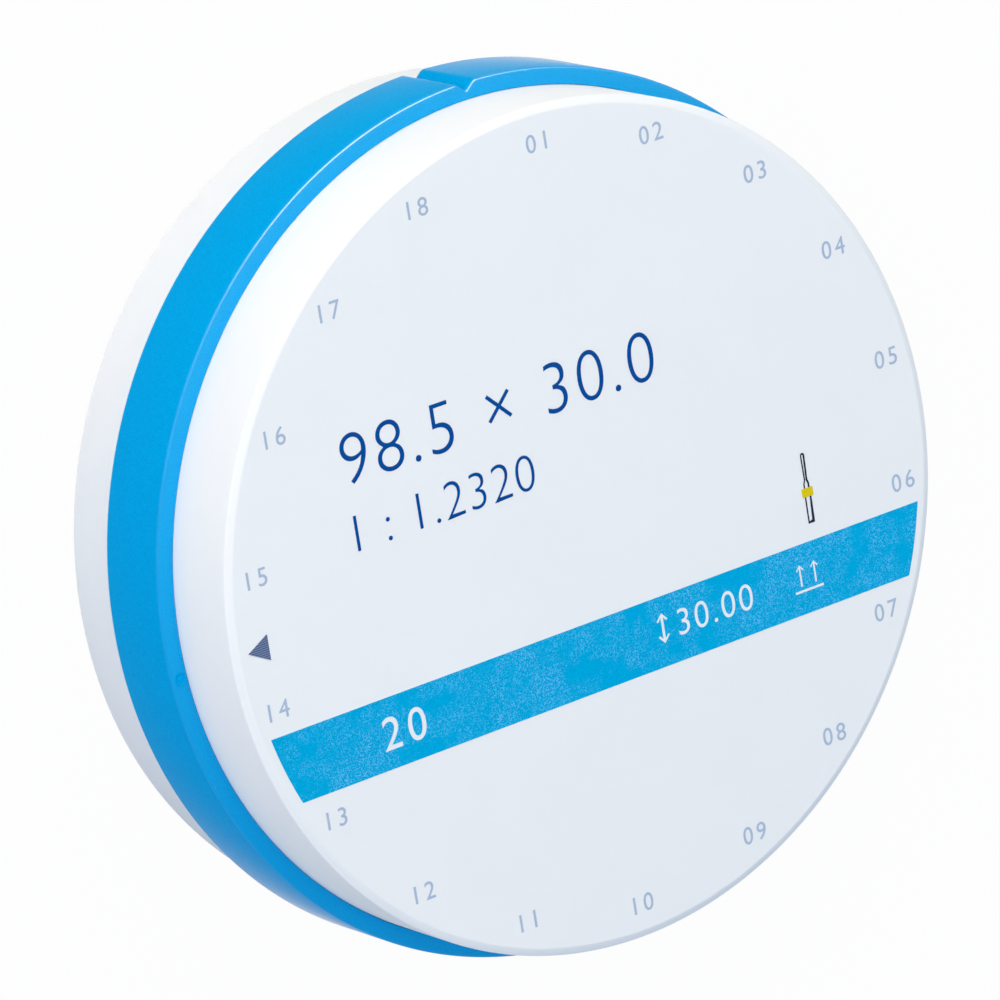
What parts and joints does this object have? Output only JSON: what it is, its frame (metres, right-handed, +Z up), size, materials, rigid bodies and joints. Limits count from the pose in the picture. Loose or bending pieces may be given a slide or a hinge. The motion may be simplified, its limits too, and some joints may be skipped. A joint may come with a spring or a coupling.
{
  "type": "dental milling disc",
  "caption": "Round pressed zirconia milling blank with a holder ring bonded round the middle of its wall, a notch in the ring and printed marks on its top face.",
  "frame": {"origin": "centre of the blank's underside", "axes": "+Z up through the printed top face, +X along the printed band, +Y towards the ring's locating notch"},
  "size_m": [0.0984, 0.0984, 0.0301],
  "materials": {
    "pressed_zirconia": "chalky matt, pressed and not yet sintered",
    "moulded_ring_blue": "satin moulded",
    "band_ink": "printed ink, slightly mottled",
    "arrow_ink": "printed ink with fine hatching",
    "outline_ink": "printed ink",
    "collar_ink": "printed ink"
  },
  "bodies": {
    "root": {"zirconia_blank": "pressed_zirconia", "holder_ring": "moulded_ring_blue", "print_band": "band_ink", "print_arrow": "arrow_ink", "print_tool_tip": "outline_ink", "print_tool_shank": "outline_ink", "print_tool_collar": "collar_ink"}
  },
  "joints": []
}
